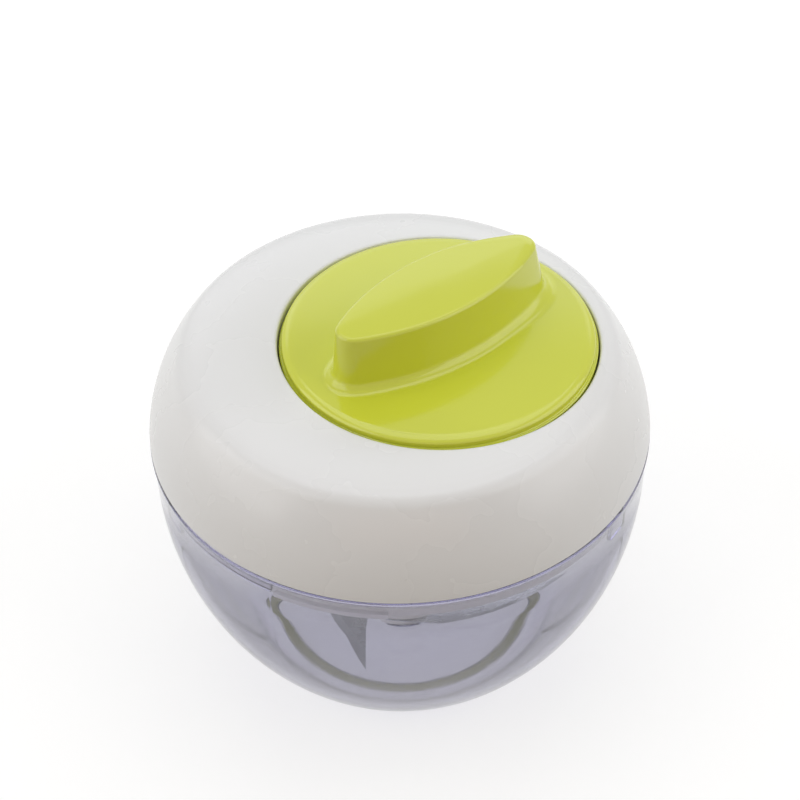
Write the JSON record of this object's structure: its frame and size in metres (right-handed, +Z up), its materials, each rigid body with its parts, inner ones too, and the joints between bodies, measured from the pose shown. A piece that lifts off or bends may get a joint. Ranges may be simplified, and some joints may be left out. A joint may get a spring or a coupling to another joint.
{
  "type": "hand-turned food chopper",
  "caption": "Clear tapered bowl under a white domed lid with an off-centre green twist knob that turns stacked curved blades through a hidden gear pair.",
  "frame": {"origin": "on the floor, under the middle of the bowl", "axes": "+Z up along the bowl's axis; +X towards the side where the knob sits; the pictured front faces -Y"},
  "size_m": [0.15, 0.15, 0.134],
  "materials": {
    "clear_plastic": "clear violet-tinted moulded plastic, glossy",
    "white_plastic": "glossy moulded white",
    "green_plastic": "satin moulded lime green",
    "grey_acetal": "slippery moulded grey",
    "soft_rubber": "soft matt lime green",
    "silicone": "milky soft silicone",
    "stainless_steel": "turned and polished",
    "blade_steel": "ground along the cutting edge"
  },
  "bodies": {
    "bowl": {"bowl": "clear_plastic", "bowl_pin": "stainless_steel", "foot_ring": "soft_rubber"},
    "seal": {"lid_seal": "silicone"},
    "lid": {"lid_shell": "white_plastic", "gear_cover": "white_plastic", "cover_screw_1": "stainless_steel", "cover_screw_2": "stainless_steel", "cover_screw_3": "stainless_steel", "cover_screw_4": "stainless_steel", "shaft_bush": "grey_acetal", "glide_ring": "grey_acetal"},
    "knob": {"knob": "green_plastic", "ring_gear": "grey_acetal", "knob_washer": "stainless_steel", "knob_screw": "stainless_steel"},
    "output": {"pinion": "grey_acetal", "output_shaft": "stainless_steel", "drive_dog": "grey_acetal", "thrust_washer": "stainless_steel"},
    "blades": {"blade_spindle": "white_plastic", "spindle_foot": "white_plastic", "blade_lower": "blade_steel", "spacer_lower": "white_plastic", "blade_middle": "blade_steel", "spacer_upper": "white_plastic", "blade_upper": "blade_steel"}
  },
  "joints": [
    {"name": "lid_lift", "type": "slide", "parent": "bowl", "child": "seal", "axis": [0, 0, 1], "range_m": [0, 0.06]},
    {"name": "lid_turn", "type": "hinge", "parent": "seal", "child": "lid", "pos_m": [0, 0, 0.084], "axis": [0, 0, -1], "range_deg": [0, 30]},
    {"name": "knob_turn", "type": "hinge", "parent": "lid", "child": "knob", "pos_m": [0.0117, 0, 0.1], "axis": [0, 0, 1], "continuous": true},
    {"name": "output_spin", "type": "hinge", "parent": "lid", "child": "output", "pos_m": [0, 0, 0.08], "axis": [0, 0, 1], "continuous": true},
    {"name": "blade_spin", "type": "hinge", "parent": "bowl", "child": "blades", "pos_m": [0, 0, 0.03], "axis": [0, 0, 1], "continuous": true}
  ],
  "couplings": [
    {"joint": "output_spin", "follows": "knob_turn", "ratio": 3},
    {"joint": "blade_spin", "follows": "knob_turn", "ratio": 3}
  ]
}
